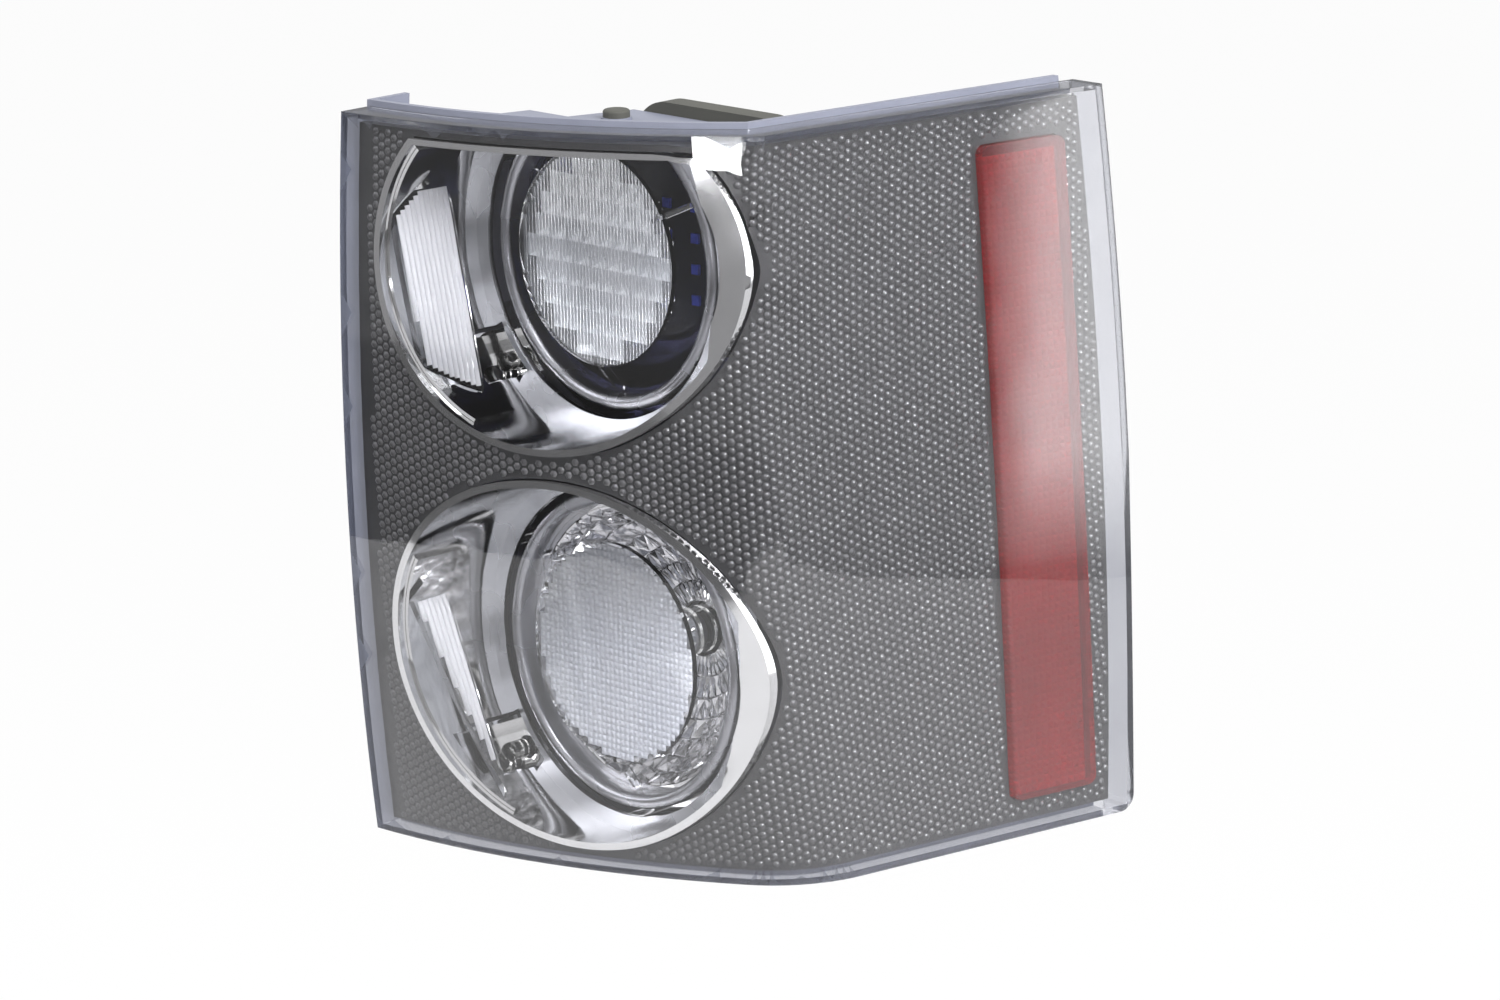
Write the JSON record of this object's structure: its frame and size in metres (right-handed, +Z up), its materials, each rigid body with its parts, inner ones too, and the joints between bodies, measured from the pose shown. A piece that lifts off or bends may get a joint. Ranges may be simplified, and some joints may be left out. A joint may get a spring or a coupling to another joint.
{
  "type": "tail light cluster",
  "caption": "Wrap-round rear lamp cluster for the right side of a car: clear lens, two round chromed lamps one above the other, dark patterned panel, red side reflector, sealed housing.",
  "frame": {"origin": "middle of the rectangle of mounting studs, on the flat back of the housing", "axes": "the vehicle's own: +X outboard (to the right of the car), +Y forward into the car along the studs, +Z up"},
  "size_m": [0.2784, 0.3199, 0.396],
  "materials": {
    "clear_acrylic": "polished",
    "housing_plastic": "satin",
    "dark_panel": "metallic",
    "bright_chrome": "polished",
    "satin_chrome": "satin",
    "inner_lens_acrylic": "fluted",
    "red_acrylic": "polished",
    "black_plastic": "satin",
    "seal_rubber": "matte",
    "board_green": "satin",
    "diode_white": "gloss",
    "sink_aluminium": "satin",
    "zinc_steel": "satin",
    "bulb_glass": "polished",
    "pin_brass": "polished"
  },
  "bodies": {
    "root": {"outer_lens": "clear_acrylic", "housing": "housing_plastic", "inner_panel": "dark_panel", "upper_bezel": "bright_chrome", "lower_bezel": "bright_chrome", "upper_bead_ring": "satin_chrome", "lower_bead_ring": "satin_chrome", "upper_reflector": "bright_chrome", "lower_reflector": "bright_chrome", "upper_inner_lens": "inner_lens_acrylic", "lower_inner_lens": "inner_lens_acrylic", "upper_crescent_reflector": "bright_chrome", "lower_crescent_reflector": "bright_chrome", "upper_crescent_lens": "inner_lens_acrylic", "lower_crescent_lens": "inner_lens_acrylic", "side_reflector": "red_acrylic", "reflector_tray": "black_plastic", "body_seal": "seal_rubber", "top_buffer": "seal_rubber", "led_board": "board_green", "leds": "diode_white", "heat_sink": "sink_aluminium", "reflector_screws": "zinc_steel", "mounting_studs": "zinc_steel", "connector_socket": "black_plastic", "connector_pins": "pin_brass", "vent_caps": "black_plastic", "main_bulb_glass": "bulb_glass", "main_bulb_cap": "zinc_steel", "main_bulb_holder": "black_plastic", "main_holder_seal": "seal_rubber", "upper_small_bulb_glass": "bulb_glass", "upper_small_bulb_cap": "zinc_steel", "upper_small_bulb_holder": "black_plastic", "upper_small_holder_seal": "seal_rubber", "lower_small_bulb_glass": "bulb_glass", "lower_small_bulb_cap": "zinc_steel", "lower_small_bulb_holder": "black_plastic", "lower_small_holder_seal": "seal_rubber"}
  },
  "joints": []
}
